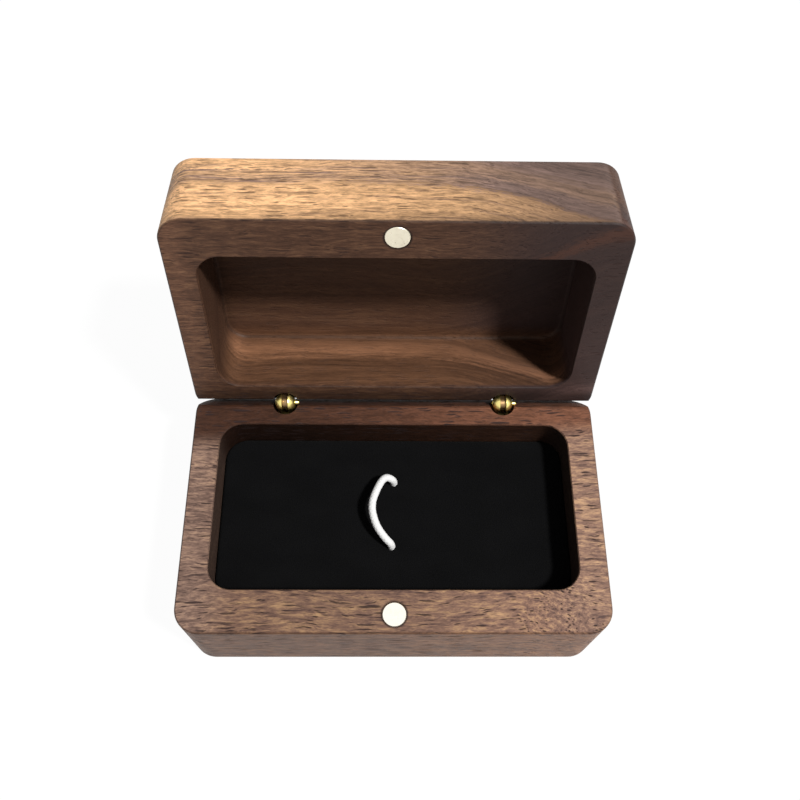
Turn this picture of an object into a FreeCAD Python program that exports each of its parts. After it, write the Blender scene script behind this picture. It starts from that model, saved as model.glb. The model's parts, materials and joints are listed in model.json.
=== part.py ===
import FreeCAD, Part
import math
import os

import Sketcher
from FreeCAD import Placement, Rotation, Vector

# Hinged walnut case for a tie clip. Millimetres, +Z up, +Y to the back, origin at the centre of the
# underside of the base. Two routed blocks meet at a parting plane. Two brass barrel hinges join them
# at the back, two disc magnets hold them shut, and the base holds a velvet pad with an elastic loop.
# The lid stands open, as the case is when it shows what is in it.

DOC = FreeCAD.newDocument("tie_clip_case")

SIZES = {
    # The two blocks
    "case_width": 70.0,
    "case_depth": 43.0,
    "base_height": 18.5,
    "lid_height": 14.8,
    "parting_gap": 0.1,
    "corner_radius": 4.2,
    "edge_chamfer": 0.25,
    "bevel": 2.93,
    # The routed recesses, the same outline in both blocks
    "rim_side": 4.7,
    "rim_front": 7.1,
    "rim_back": 6.5,
    "recess_corner": 4.0,
    "recess_floor_round": 0.8,
    "recess_rim_chamfer": 0.15,
    "base_recess": 12.5,
    "lid_recess": 12.0,
    # The magnet catch
    "magnet_diameter": 4.0,
    "magnet_thick": 2.0,
    "magnet_chamfer": 0.15,
    "magnet_seat_play": 0.05,
    "magnet_from_front": 3.1,
    # The barrel hinges
    "hinge_from_middle": 19.3,
    "pin_from_back": 2.24,
    "barrel_diameter": 3.6,
    "barrel_lead": 0.2,
    "barrel_reach": 8.0,
    "barrel_shoulder": 2.05,
    "barrel_bevel": 0.25,
    "bore_play": 0.05,
    "mouth_diameter": 4.4,
    "mouth_deep": 2.3,
    "ball_diameter": 3.6,
    "neck_diameter": 3.2,
    "slot_width": 1.1,
    "slot_below_pin": 1.58,
    "tongue_thick": 1.0,
    "tongue_width": 2.3,
    "pin_diameter": 0.8,
    "pin_play": 0.03,
    "pin_left": 1.7,
    "pin_right": 2.5,
    "pin_chamfer": 0.28,
    "open_angle": 102.5,
    # The velvet pad
    "pad_gap": 0.1,
    "velvet_thick": 0.5,
    "velvet_chamfer": 0.45,
    "board_thick": 1.0,
    "foam_thick": 4.8,
    "knot_well": 3.6,
    # The elastic loop
    "cord_diameter": 1.3,
    "cord_hole_play": 0.05,
    "knot_width": 2.8,
    "knot_high": 1.8,
    "loop_back_foot": 6.5,
    "loop_front_foot": 5.2,
    "loop_front_shift": 0.4,
    "tail_below_board": 2.6,
}

SHEET = DOC.addObject("Spreadsheet::Sheet", "Sizes")
for row, (alias, number) in enumerate(SIZES.items(), start=1):
    SHEET.set(f"A{row}", alias)
    SHEET.set(f"B{row}", str(number))
    SHEET.setAlias(f"B{row}", alias)
DOC.recompute()


class Size:
    """A length with the sheet expression that it comes from."""

    def __init__(self, number, text):
        self.number = float(number)
        self.text = text

    def __add__(self, other):
        other = as_size(other)
        return Size(self.number + other.number, f"({self.text} + {other.text})")

    def __sub__(self, other):
        other = as_size(other)
        return Size(self.number - other.number, f"({self.text} - {other.text})")

    def __neg__(self):
        return Size(-self.number, f"(0 - {self.text})")

    def __truediv__(self, divisor):
        return Size(self.number / divisor, f"({self.text} / {divisor})")

    def __mul__(self, factor):
        return Size(self.number * factor, f"({self.text} * {factor})")


def as_size(length):
    return length if isinstance(length, Size) else Size(length, str(length))


def size(alias):
    return Size(SHEET.get(alias), f"Sizes.{alias}")


def drive(thing, name, length):
    """Binds a property, or a named constraint of a sketch, to the sheet."""
    thing.setExpression(name, as_size(length).text)


# ---------------------------------------------------------------- lengths worked out from the sheet

HALF_WIDTH = size("case_width") / 2
HALF_DEPTH = size("case_depth") / 2
RECESS_RIGHT = HALF_WIDTH - size("rim_side")
RECESS_FRONT = size("rim_front") - HALF_DEPTH
RECESS_BACK = HALF_DEPTH - size("rim_back")
MAGNET_Y = size("magnet_from_front") - HALF_DEPTH
PIN_Y = HALF_DEPTH - size("pin_from_back")
PIN_Z = size("base_height") + size("parting_gap") / 2
BORE_Y = PIN_Y - size("barrel_lead")
BORE_DEEP = size("barrel_reach") + size("bore_play") - size("parting_gap") / 2
RECESS_FLOOR = size("base_height") - size("base_recess")
BOARD_Z = RECESS_FLOOR + size("foam_thick")
VELVET_Z = BOARD_Z + size("board_thick")
PAD_TOP = VELVET_Z + size("velvet_thick")
CORD_HOLE = size("cord_diameter") + size("cord_hole_play") * 2

# ---------------------------------------------------------------- sketches and features


def new_body(label):
    body = DOC.addObject("PartDesign::Body", label)
    body.Label = label
    return body


def origin_feature(body, role):
    return next(item for item in body.Origin.OriginFeatures if item.Role == role)


def new_sketch(body, name, role, height=None):
    """A sketch on one of the body's own origin planes, raised from it by height."""
    sketch = body.newObject("Sketcher::SketchObject", f"{body.Name}_{name}")
    sketch.AttachmentSupport = [(origin_feature(body, role), "")]
    sketch.MapMode = "FlatFace"
    if height is not None:
        drive(sketch, "AttachmentOffset.Base.z", height)
    return sketch


def pin_point(sketch, edge, end, name, across, along):
    """Ties one point of an edge to its place, measured from the sketch's origin."""
    for axis, kind, length in ((-2, "DistanceX", across), (-1, "DistanceY", along)):
        length = as_size(length)
        if length.number == 0.0:
            sketch.addConstraint(Sketcher.Constraint("PointOnObject", edge, end, axis))
            continue
        made = sketch.addConstraint(Sketcher.Constraint(kind, -1, 1, edge, end, length.number))
        sketch.renameConstraint(made, f"{name}_{kind[-1].lower()}")
        drive(sketch, f"Constraints.{name}_{kind[-1].lower()}", length)


def add_outline(sketch, points, name="point"):
    """A closed outline of straight lines through the points."""
    places = [Vector(as_size(across).number, as_size(along).number, 0) for across, along in points]
    first = sketch.GeometryCount
    count = len(places)
    for index in range(count):
        sketch.addGeometry(Part.LineSegment(places[index], places[(index + 1) % count]), False)
    for index in range(count):
        following = first + (index + 1) % count
        sketch.addConstraint(Sketcher.Constraint("Coincident", first + index, 2, following, 1))
    for index, (across, along) in enumerate(points):
        pin_point(sketch, first + index, 1, f"{name}{index}", across, along)


def add_rectangle(sketch, left, right, low, high):
    add_outline(sketch, [(left, low), (right, low), (right, high), (left, high)], "corner")


def add_rounded_rectangle(sketch, left, right, low, high, radius):
    """Four sides joined by equal tangent arcs. The corners of the sides are numbered from low left."""
    x0, x1, y0, y1, r = (as_size(length).number for length in (left, right, low, high, radius))
    sides = [
        (Vector(x0 + r, y0, 0), Vector(x1 - r, y0, 0)),
        (Vector(x1, y0 + r, 0), Vector(x1, y1 - r, 0)),
        (Vector(x1 - r, y1, 0), Vector(x0 + r, y1, 0)),
        (Vector(x0, y1 - r, 0), Vector(x0, y0 + r, 0)),
    ]
    centres = [(x1 - r, y0 + r), (x1 - r, y1 - r), (x0 + r, y1 - r), (x0 + r, y0 + r)]
    for start, end in sides:
        sketch.addGeometry(Part.LineSegment(start, end), False)
    for quarter, (across, along) in enumerate(centres, start=-1):
        circle = Part.Circle(Vector(across, along, 0), Vector(0, 0, 1), r)
        turn = quarter * math.pi / 2
        sketch.addGeometry(Part.ArcOfCircle(circle, turn, turn + math.pi / 2), False)
    for side in range(4):
        arc = 4 + side
        sketch.addConstraint(Sketcher.Constraint("Tangent", side, 2, arc, 1))
        sketch.addConstraint(Sketcher.Constraint("Tangent", arc, 2, (side + 1) % 4, 1))
        sketch.addConstraint(Sketcher.Constraint("Vertical" if side % 2 else "Horizontal", side))
    for arc in (5, 6, 7):
        sketch.addConstraint(Sketcher.Constraint("Equal", 4, arc))
    made = sketch.addConstraint(Sketcher.Constraint("Radius", 4, r))
    sketch.renameConstraint(made, "corner_radius")
    drive(sketch, "Constraints.corner_radius", radius)
    places = (("low", "DistanceY", 0, low), ("right", "DistanceX", 1, right),
              ("high", "DistanceY", 2, high), ("left", "DistanceX", 3, left))
    for name, kind, side, length in places:
        made = sketch.addConstraint(
            Sketcher.Constraint(kind, -1, 1, side, 1, as_size(length).number))
        sketch.renameConstraint(made, name)
        drive(sketch, f"Constraints.{name}", length)


def add_circle(sketch, across, along, diameter, name="circle"):
    centre = Vector(as_size(across).number, as_size(along).number, 0)
    radius = as_size(diameter).number / 2
    edge = sketch.addGeometry(Part.Circle(centre, Vector(0, 0, 1), radius), False)
    pin_point(sketch, edge, 3, name, across, along)
    made = sketch.addConstraint(Sketcher.Constraint("Diameter", edge, radius * 2))
    sketch.renameConstraint(made, f"{name}_diameter")
    drive(sketch, f"Constraints.{name}_diameter", diameter)


def add_feature(body, kind, name, sketch, **settings):
    """A sketched feature. Settings that are a Size are bound to the sheet."""
    feature = body.newObject(f"PartDesign::{kind}", f"{body.Name}_{name}")
    feature.Profile = sketch
    for key, setting in settings.items():
        if isinstance(setting, Size):
            drive(feature, key, setting)
        else:
            setattr(feature, key, setting)
    DOC.recompute()
    return feature


def cut(body, kind, name, sketch, **settings):
    """A feature that has to take material away."""
    before = body.Shape.Volume
    feature = add_feature(body, kind, name, sketch, **settings)
    if not body.Shape.Volume < before:
        raise RuntimeError(f"{feature.Name} cuts nothing")
    return feature


def dress(body, kind, name, chosen, **settings):
    """A fillet or chamfer on the edges of the body that the test chooses."""
    base = body.Tip
    names = [f"Edge{n}" for n, edge in enumerate(base.Shape.Edges, start=1) if chosen(edge)]
    if not names:
        raise RuntimeError(f"{name} of {body.Name} has no edge")
    feature = body.newObject(f"PartDesign::{kind}", f"{body.Name}_{name}")
    feature.Base = (base, names)
    for key, setting in settings.items():
        drive(feature, key, setting)
    DOC.recompute()
    return feature


def near(one, other):
    return abs(one - other) < 1e-4


def edge_lies_at(edge, level):
    box = edge.BoundBox
    return near(box.ZMin, level) and near(box.ZMax, level)


# ---------------------------------------------------------------- the two walnut blocks


def is_recess_edge(edge):
    """Whether an edge lies within the outline of the recess."""
    box = edge.BoundBox
    margin = 0.01
    return (
        max(abs(box.XMin), abs(box.XMax)) < RECESS_RIGHT.number + margin
        and box.YMin > RECESS_FRONT.number - margin
        and box.YMax < RECESS_BACK.number + margin
    )


def add_recess(body, deep, rim, into):
    """Routs the recess. rim is the level of the block's rim, and into is -1 down or 1 up.

    The lid's floor shows, so the cutter that leaves a small round is used there. The base's floor is
    square, to take the pad.
    """
    sketch = new_sketch(body, "recess_sketch", "XY_Plane", rim)
    add_rounded_rectangle(
        sketch, -RECESS_RIGHT, RECESS_RIGHT, RECESS_FRONT, RECESS_BACK, size("recess_corner"))
    cut(body, "Pocket", "recess", sketch, Length=deep, Reversed=into > 0)
    floor = rim.number + into * deep.number
    if into > 0:
        dress(
            body, "Fillet", "recess_floor_edge",
            lambda edge: edge_lies_at(edge, floor) and is_recess_edge(edge),
            Radius=size("recess_floor_round"),
        )


def add_bores(body, rim, into):
    """The magnet seat and the stepped bores of the two hinge barrels."""
    seat = new_sketch(body, "magnet_seat_sketch", "XY_Plane", rim)
    add_circle(seat, 0, MAGNET_Y, size("magnet_diameter") + size("magnet_seat_play") * 2)
    deep = size("magnet_thick") + size("magnet_seat_play")
    cut(body, "Pocket", "magnet_seat", seat, Length=deep, Reversed=into > 0)
    steps = (
        ("bores", size("barrel_diameter"), BORE_DEEP),
        ("mouths", size("mouth_diameter"), size("mouth_deep")),
    )
    for name, diameter, deep in steps:
        sketch = new_sketch(body, f"{name}_sketch", "XY_Plane", rim)
        for side, across in (("left", -size("hinge_from_middle")), ("right", size("hinge_from_middle"))):
            add_circle(sketch, across, BORE_Y, diameter, side)
        cut(body, "Pocket", name, sketch, Length=deep, Reversed=into > 0)


def make_block(label, height, deep, rim, far, into):
    """One half of the case. rim and far are the levels of its rim and of its closed face."""
    body = new_body(label)
    sketch = new_sketch(body, "blank_sketch", "XY_Plane")
    add_rounded_rectangle(
        sketch, -HALF_WIDTH, HALF_WIDTH, -HALF_DEPTH, HALF_DEPTH, size("corner_radius"))
    add_feature(body, "Pad", "blank", sketch, Length=height)

    # The bevel along the back edge of the rim gives the lid room to swing past the upright.
    bevel = size("bevel")
    sketch = new_sketch(body, "bevel_sketch", "YZ_Plane")
    inner = rim - bevel * -into
    add_outline(sketch, [(HALF_DEPTH, rim), (HALF_DEPTH - bevel, rim), (HALF_DEPTH, inner)])
    cut(body, "Pocket", "bevel", sketch, Midplane=True, Type="ThroughAll")

    dress(
        body, "Chamfer", "outer_edges",
        lambda edge: edge_lies_at(edge, rim.number) or edge_lies_at(edge, far.number),
        Size=size("edge_chamfer"),
    )
    add_recess(body, deep, rim, into)
    dress(
        body, "Chamfer", "recess_rim_edge",
        lambda edge: edge_lies_at(edge, rim.number) and is_recess_edge(edge),
        Size=size("recess_rim_chamfer"),
    )
    add_bores(body, rim, into)
    return body


# ---------------------------------------------------------------- magnets


def make_magnet(label):
    """A plated disc that stands on the XY plane of its body."""
    body = new_body(label)
    sketch = new_sketch(body, "disc_sketch", "XY_Plane")
    add_circle(sketch, 0, 0, size("magnet_diameter"))
    add_feature(body, "Pad", "disc", sketch, Length=size("magnet_thick"))
    dress(body, "Chamfer", "edges", lambda edge: edge.BoundBox.XLength > 1, Size=size("magnet_chamfer"))
    return body


# ---------------------------------------------------------------- barrel hinges
# The origin of each hinge piece is the middle of its ball, on the axis of the pin.


def add_barrel(body, into):
    """The glued barrel, turned with a bevel at both ends. It lies below the pin for into -1."""
    radius = size("barrel_diameter") / 2
    bevel = size("barrel_bevel")
    lead = -size("barrel_lead")
    near_end = size("barrel_shoulder") * into
    far_end = size("barrel_reach") * into
    sketch = new_sketch(body, "barrel_sketch", "YZ_Plane")
    add_outline(
        sketch,
        [
            (lead, near_end),
            (lead + radius - bevel, near_end),
            (lead + radius, near_end + bevel * into),
            (lead + radius, far_end - bevel * into),
            (lead + radius - bevel, far_end),
            (lead, far_end),
        ],
    )
    axis_edge = sketch.GeometryCount - 1
    add_feature(body, "Revolution", "barrel", sketch, ReferenceAxis=(sketch, [f"Edge{axis_edge + 1}"]))


def make_base_barrel(label):
    """A barrel with a ball-shaped fork for the tongue."""
    body = new_body(label)
    add_barrel(body, -1)

    neck = new_sketch(body, "neck_sketch", "XY_Plane", -size("barrel_shoulder") - size("barrel_bevel"))
    add_circle(neck, 0, 0, size("neck_diameter"))
    add_feature(body, "Pad", "neck", neck, Length=size("barrel_shoulder") - size("barrel_bevel"))

    ball = body.newObject("PartDesign::AdditiveSphere", f"{body.Name}_ball")
    drive(ball, "Radius", size("ball_diameter") / 2)
    DOC.recompute()

    slot = new_sketch(body, "slot_sketch", "XZ_Plane")
    half = size("slot_width") / 2
    add_rectangle(slot, -half, half, -size("slot_below_pin"), size("ball_diameter"))
    cut(body, "Pocket", "slot", slot, Midplane=True, Type="ThroughAll")

    hole = new_sketch(body, "pin_hole_sketch", "YZ_Plane")
    add_circle(hole, 0, 0, size("pin_diameter"))
    cut(body, "Pocket", "pin_hole", hole, Midplane=True, Type="ThroughAll")
    return body


def make_lid_barrel(label):
    """A barrel with a flat tongue whose round end turns on the pin. Drawn with the lid shut."""
    body = new_body(label)
    add_barrel(body, 1)

    eye = new_sketch(body, "eye_sketch", "YZ_Plane")
    add_circle(eye, 0, 0, size("tongue_width"))
    add_feature(body, "Pad", "eye", eye, Length=size("tongue_thick"), Midplane=True)

    shank = new_sketch(body, "shank_sketch", "YZ_Plane")
    half = size("tongue_width") / 2
    add_rectangle(shank, -half, half, 0, size("barrel_shoulder") + size("barrel_bevel"))
    add_feature(body, "Pad", "shank", shank, Length=size("tongue_thick"), Midplane=True)

    hole = new_sketch(body, "pin_hole_sketch", "YZ_Plane")
    add_circle(hole, 0, 0, size("pin_diameter") + size("pin_play") * 2)
    cut(body, "Pocket", "pin_hole", hole, Midplane=True, Type="ThroughAll")
    return body


def make_hinge_pin(label):
    """The cross pin. Its right end stands out of the ball, and its left end is flush."""
    body = new_body(label)
    sketch = new_sketch(body, "pin_sketch", "YZ_Plane", -size("pin_left"))
    add_circle(sketch, 0, 0, size("pin_diameter"))
    add_feature(body, "Pad", "pin", sketch, Length=size("pin_left") + size("pin_right"))
    right_end = SIZES["pin_right"]
    dress(
        body, "Chamfer", "blunt_end",
        lambda edge: near(edge.BoundBox.XMin, right_end) and near(edge.BoundBox.XMax, right_end),
        Size=size("pin_chamfer"),
    )
    return body


# ---------------------------------------------------------------- velvet pad


def add_recess_outline(sketch, inset):
    """The outline of the recess, drawn in by inset."""
    add_rounded_rectangle(
        sketch, inset - RECESS_RIGHT, RECESS_RIGHT - inset, RECESS_FRONT + inset, RECESS_BACK - inset,
        size("recess_corner") - inset,
    )


def add_pad_blank(body, inset, thick):
    """A flat piece that stands on the XY plane within the recess."""
    sketch = new_sketch(body, "blank_sketch", "XY_Plane")
    add_recess_outline(sketch, inset)
    add_feature(body, "Pad", "blank", sketch, Length=thick)


def add_loop_holes(body, diameter, top):
    """The two holes that the elastic loop comes up through, cut down from the top of the piece."""
    sketch = new_sketch(body, "loop_holes_sketch", "XY_Plane", top)
    add_circle(sketch, 0, size("loop_back_foot"), diameter, "back")
    add_circle(sketch, -size("loop_front_shift"), -size("loop_front_foot"), diameter, "front")
    cut(body, "Pocket", "loop_holes", sketch, Type="ThroughAll")


def make_pad_piece(label, thick, hole):
    """The foam block or the card inside the velvet."""
    body = new_body(label)
    add_pad_blank(body, size("pad_gap") + size("velvet_thick"), thick)
    add_loop_holes(body, hole, thick)
    return body


def make_velvet(label):
    """The cover: a tray turned over, open below, with its upper edge eased."""
    body = new_body(label)
    high = size("foam_thick") + size("board_thick") + size("velvet_thick")
    add_pad_blank(body, size("pad_gap"), high)
    dress(
        body, "Chamfer", "eased_edge",
        lambda edge: edge_lies_at(edge, high.number),
        Size=size("velvet_chamfer"),
    )
    sketch = new_sketch(body, "hollow_sketch", "XY_Plane")
    add_recess_outline(sketch, size("pad_gap") + size("velvet_thick"))
    cut(body, "Pocket", "hollow", sketch, Length=high - size("velvet_thick"), Reversed=True)
    add_loop_holes(body, CORD_HOLE, high)
    return body


# ---------------------------------------------------------------- elastic loop

# The cord rises through the back hole, hooks over to the left, leans over the pad and goes down
# through the front hole. The first and last points are the cut ends below the knots.
TAIL_Z = BOARD_Z.number - SIZES["tail_below_board"]
BACK_FOOT = Vector(0.0, SIZES["loop_back_foot"], PAD_TOP.number)
FRONT_FOOT = Vector(-SIZES["loop_front_shift"], -SIZES["loop_front_foot"], PAD_TOP.number)
LOOP_ROUTE = [
    Vector(BACK_FOOT.x, BACK_FOOT.y, TAIL_Z),
    BACK_FOOT + Vector(0.0, 0.0, 1.1),
    Vector(-1.6, 6.75, PAD_TOP.number + 2.3),
    Vector(-2.9, 4.3, PAD_TOP.number + 3.1),
    Vector(-4.0, 0.9, PAD_TOP.number + 3.6),
    Vector(-3.2, -2.3, PAD_TOP.number + 3.0),
    Vector(-1.6, -4.4, PAD_TOP.number + 2.1),
    FRONT_FOOT + Vector(0.0, 0.0, 1.0),
    Vector(FRONT_FOOT.x, FRONT_FOOT.y, TAIL_Z),
]
ARC_SHARE = 0.45
KNOT_TAPER = 0.5
STRANDS = 12


def rounded_path(points):
    """Straight runs joined by tangent arcs, each as large as its two runs allow."""
    edges = []
    start = points[0]
    for before, corner, after in zip(points, points[1:], points[2:]):
        arriving = (corner - before).normalize()
        leaving = (after - corner).normalize()
        turn = arriving.getAngle(leaving)
        back_off = ARC_SHARE * min((corner - before).Length, (after - corner).Length)
        radius = back_off / math.tan(turn / 2)
        first = corner - arriving * back_off
        last = corner + leaving * back_off
        inward = (leaving - arriving).normalize()
        centre = corner + inward * (radius / math.cos(turn / 2))
        middle = centre - inward * radius
        edges.append(Part.LineSegment(start, first).toShape())
        edges.append(Part.Arc(first, middle, last).toShape())
        print(f"loop: turn {math.degrees(turn):.0f} degrees, radius {radius:.2f}")
        start = last
    edges.append(Part.LineSegment(start, points[-1]).toShape())
    return Part.Wire(edges)


def cord_section(middle):
    """The cord's outline across its length: a round braid, with a flat for each of its strands.

    It has the area of a circle of the cord's diameter.
    """
    step = 2 * math.pi / STRANDS
    area = math.pi * (SIZES["cord_diameter"] / 2) ** 2
    reach = math.sqrt(2 * area / (STRANDS * math.sin(step)))
    corners = [
        middle + Vector(reach * math.cos(step * strand), reach * math.sin(step * strand), 0)
        for strand in range(STRANDS)
    ]
    return Part.makePolygon(corners + corners[:1]), area


def make_loop(label):
    """The cord along its route, with the two knots that stop it under the card."""
    path = rounded_path(LOOP_ROUTE)
    section, area = cord_section(LOOP_ROUTE[0])
    tube = path.makePipeShell([section], True, False)
    print(f"loop: length {path.Length:.2f}, volume {tube.Volume:.2f} for {area * path.Length:.2f}")
    solid = tube
    half_high = SIZES["knot_high"] / 2
    waist = SIZES["knot_width"] / 2
    for foot in (LOOP_ROUTE[0], LOOP_ROUTE[-1]):
        middle = Vector(foot.x, foot.y, BOARD_Z.number - half_high)
        for way in (1, -1):
            half = Part.makeCone(waist, waist - KNOT_TAPER, half_high, middle, Vector(0, 0, way))
            solid = solid.fuse(half)
    feature = DOC.addObject("Part::Feature", label)
    feature.Label = label
    feature.Shape = solid.removeSplitter()
    return feature


# ---------------------------------------------------------------- assembly


def at(across, along, high):
    places = [as_size(length).number for length in (across, along, high)]
    return Placement(Vector(*places), Rotation())


def opened(placement):
    """A piece of the shut lid, swung open about the hinge pins."""
    axis_point = Vector(0, PIN_Y.number, PIN_Z.number)
    swing = Rotation(Vector(1, 0, 0), -SIZES["open_angle"])
    return Placement(Vector(), swing, axis_point).multiply(placement)


PIECES = []


def place(piece, placement):
    piece.Placement = placement
    PIECES.append(piece)


LID_Z = size("base_height") + size("parting_gap")
ZERO = Size(0.0, "0")

place(make_block("base_block", size("base_height"), size("base_recess"), size("base_height"), ZERO, -1),
      at(0, 0, 0))
place(make_block("lid_block", size("lid_height"), size("lid_recess"), ZERO, size("lid_height"), 1),
      opened(at(0, 0, LID_Z)))
place(make_magnet("base_magnet"), at(0, MAGNET_Y, size("base_height") - size("magnet_thick")))
place(make_magnet("lid_magnet"), opened(at(0, MAGNET_Y, LID_Z)))

for side, across in (("left", -size("hinge_from_middle")), ("right", size("hinge_from_middle"))):
    place(make_base_barrel(f"{side}_base_barrel"), at(across, PIN_Y, PIN_Z))
    place(make_lid_barrel(f"{side}_lid_barrel"), opened(at(across, PIN_Y, PIN_Z)))
    place(make_hinge_pin(f"{side}_hinge_pin"), at(across, PIN_Y, PIN_Z))

place(make_pad_piece("pad_foam", size("foam_thick"), size("knot_well")), at(0, 0, RECESS_FLOOR))
place(make_pad_piece("pad_board", size("board_thick"), CORD_HOLE), at(0, 0, BOARD_Z))
place(make_velvet("pad_velvet"), at(0, 0, RECESS_FLOOR))
place(make_loop("retaining_loop"), at(0, 0, 0))

DOC.recompute()

for item in DOC.Objects:
    if "Invalid" in item.State or "Error" in item.State:
        raise RuntimeError(f"{item.Name} failed: {item.State}")
for piece in PIECES:
    if piece.Shape.isNull() or not piece.Shape.isValid():
        raise RuntimeError(f"{piece.Label} has no valid shape")

os.makedirs("parts", exist_ok=True)
for piece in PIECES:
    piece.Shape.exportStep(f"parts/{piece.Label}.step")
    box = piece.Shape.BoundBox
    print(
        f"{piece.Label}: {len(piece.Shape.Solids)} solid, {piece.Shape.Volume:.1f} mm3,"
        f" x {box.XMin:.2f} {box.XMax:.2f}, y {box.YMin:.2f} {box.YMax:.2f}, z {box.ZMin:.2f} {box.ZMax:.2f}"
    )
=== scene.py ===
"""The looks of a hinged walnut tie clip case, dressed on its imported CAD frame.

Metres, +Z up, +Y to the back, origin under the middle of the base. Lengths that are easier to read in
millimetres are written so and multiplied by MM.
"""

import json
import math
from collections import namedtuple

import bmesh
import bpy
from mathutils import Matrix, Vector, noise


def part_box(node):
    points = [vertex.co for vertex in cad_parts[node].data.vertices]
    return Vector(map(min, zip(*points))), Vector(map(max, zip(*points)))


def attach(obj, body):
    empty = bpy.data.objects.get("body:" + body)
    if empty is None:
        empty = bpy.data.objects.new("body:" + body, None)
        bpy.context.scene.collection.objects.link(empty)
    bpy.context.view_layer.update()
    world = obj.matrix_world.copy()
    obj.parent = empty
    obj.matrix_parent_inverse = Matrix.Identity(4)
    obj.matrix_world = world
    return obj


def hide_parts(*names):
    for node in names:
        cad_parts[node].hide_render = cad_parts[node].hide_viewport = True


MM = 0.001

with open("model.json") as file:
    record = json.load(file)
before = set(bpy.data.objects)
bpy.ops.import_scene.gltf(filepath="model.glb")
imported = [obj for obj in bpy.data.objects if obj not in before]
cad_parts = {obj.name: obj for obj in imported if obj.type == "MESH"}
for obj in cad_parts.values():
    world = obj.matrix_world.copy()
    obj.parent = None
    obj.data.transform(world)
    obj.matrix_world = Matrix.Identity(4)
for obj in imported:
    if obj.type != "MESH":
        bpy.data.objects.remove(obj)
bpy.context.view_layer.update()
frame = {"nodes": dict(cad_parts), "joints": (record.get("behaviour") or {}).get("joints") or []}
NODES = frame["nodes"]
HINGE = frame["joints"][0]
HINGE_PLACE = Vector(HINGE["pos_m"])
OPEN_ANGLE = math.radians(HINGE["range_deg"][1])
BASE_LOW, BASE_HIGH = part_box("base_block")

# ---------------------------------------------------------------- camera, lights and floor

CAMERA_PLACE = Vector((-2.08, -51.92, 159.02)) * MM
CAMERA_AIM = Vector((1.01, 19.06, 20.0)) * MM
CAMERA_ROLL = math.radians(2.53)
CAMERA_LENS = 39.78
CAMERA_SENSOR = 36.0
CAMERA_NEAR = 5 * MM

KEY_DIRECTION = Vector((0.464, -0.25, 0.85))
KEY_ANGLE = math.radians(6.5)
KEY_STRENGTH = 3.9
WORLD_LIGHT = 0.13
WHITE = (1.0, 1.0, 1.0, 1.0)
FLOOR_REACH = 1.5
FLOOR_COLOUR = (0.60, 0.60, 0.60, 1.0)
FLOOR_SHADE_SHARE = 0.07
FLOOR_GLOW = 1.04


def add_camera():
    data = bpy.data.cameras.new("camera")
    data.lens = CAMERA_LENS
    data.sensor_width = CAMERA_SENSOR
    data.clip_start = CAMERA_NEAR
    camera = bpy.data.objects.new("camera", data)
    bpy.context.scene.collection.objects.link(camera)
    turn = (CAMERA_AIM - CAMERA_PLACE).to_track_quat("-Z", "Y").to_matrix().to_4x4()
    camera.matrix_world = Matrix.Translation(CAMERA_PLACE) @ turn @ Matrix.Rotation(CAMERA_ROLL, 4, "Z")
    bpy.context.scene.camera = camera


def add_key_light():
    data = bpy.data.lights.new("key", "SUN")
    data.energy = KEY_STRENGTH
    data.angle = KEY_ANGLE
    light = bpy.data.objects.new("key", data)
    light.rotation_mode = "QUATERNION"
    light.rotation_quaternion = (-KEY_DIRECTION).to_track_quat("-Z", "Y")
    bpy.context.scene.collection.objects.link(light)


def white_to_the_eye(tree):
    """1 for camera, mirror and see-through rays, which see a white room, and 0 for all others."""
    light_path = tree.nodes.new("ShaderNodeLightPath")
    seen = light_path.outputs["Is Camera Ray"]
    for name in ("Is Glossy Ray", "Is Transmission Ray"):
        either = tree.nodes.new("ShaderNodeMath")
        either.operation = "MAXIMUM"
        tree.links.new(seen, either.inputs[0])
        tree.links.new(light_path.outputs[name], either.inputs[1])
        seen = either.outputs[0]
    return seen


def set_world():
    world = bpy.data.worlds.new("studio")
    world.use_nodes = True
    bpy.context.scene.world = world
    tree = world.node_tree
    background = tree.nodes["Background"]
    background.inputs["Color"].default_value = WHITE
    seen = white_to_the_eye(tree)
    level = tree.nodes.new("ShaderNodeMapRange")
    level.inputs["To Min"].default_value = WORLD_LIGHT
    level.inputs["To Max"].default_value = 1.0
    tree.links.new(seen, level.inputs["Value"])
    tree.links.new(level.outputs[0], background.inputs["Strength"])


def add_floor():
    """A white floor. To the eye it glows a little, so that only the shadow at the case's foot shows."""
    mesh = bpy.data.meshes.new("floor")
    reach = FLOOR_REACH
    mesh.from_pydata([(-reach, -reach, 0), (reach, -reach, 0), (reach, reach, 0), (-reach, reach, 0)],
                     [], [(0, 1, 2, 3)])
    floor = bpy.data.objects.new("floor", mesh)
    bpy.context.scene.collection.objects.link(floor)
    material = bpy.data.materials.new("floor")
    material.use_nodes = True
    tree = material.node_tree
    tree.nodes.clear()
    matte = tree.nodes.new("ShaderNodeBsdfDiffuse")
    matte.inputs["Color"].default_value = FLOOR_COLOUR
    glow = tree.nodes.new("ShaderNodeEmission")
    glow.inputs["Strength"].default_value = FLOOR_GLOW
    mix = tree.nodes.new("ShaderNodeMixShader")
    share = tree.nodes.new("ShaderNodeMapRange")
    share.inputs["To Max"].default_value = 1.0 - FLOOR_SHADE_SHARE
    seen = white_to_the_eye(tree)
    tree.links.new(seen, share.inputs["Value"])
    tree.links.new(share.outputs[0], mix.inputs["Fac"])
    tree.links.new(matte.outputs[0], mix.inputs[1])
    tree.links.new(glow.outputs[0], mix.inputs[2])
    output = tree.nodes.new("ShaderNodeOutputMaterial")
    tree.links.new(mix.outputs[0], output.inputs["Surface"])
    mesh.materials.append(material)


bpy.context.scene.view_settings.view_transform = "Standard"
add_camera()
add_key_light()
set_world()
add_floor()

# ---------------------------------------------------------------- a short way to write shaders

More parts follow.
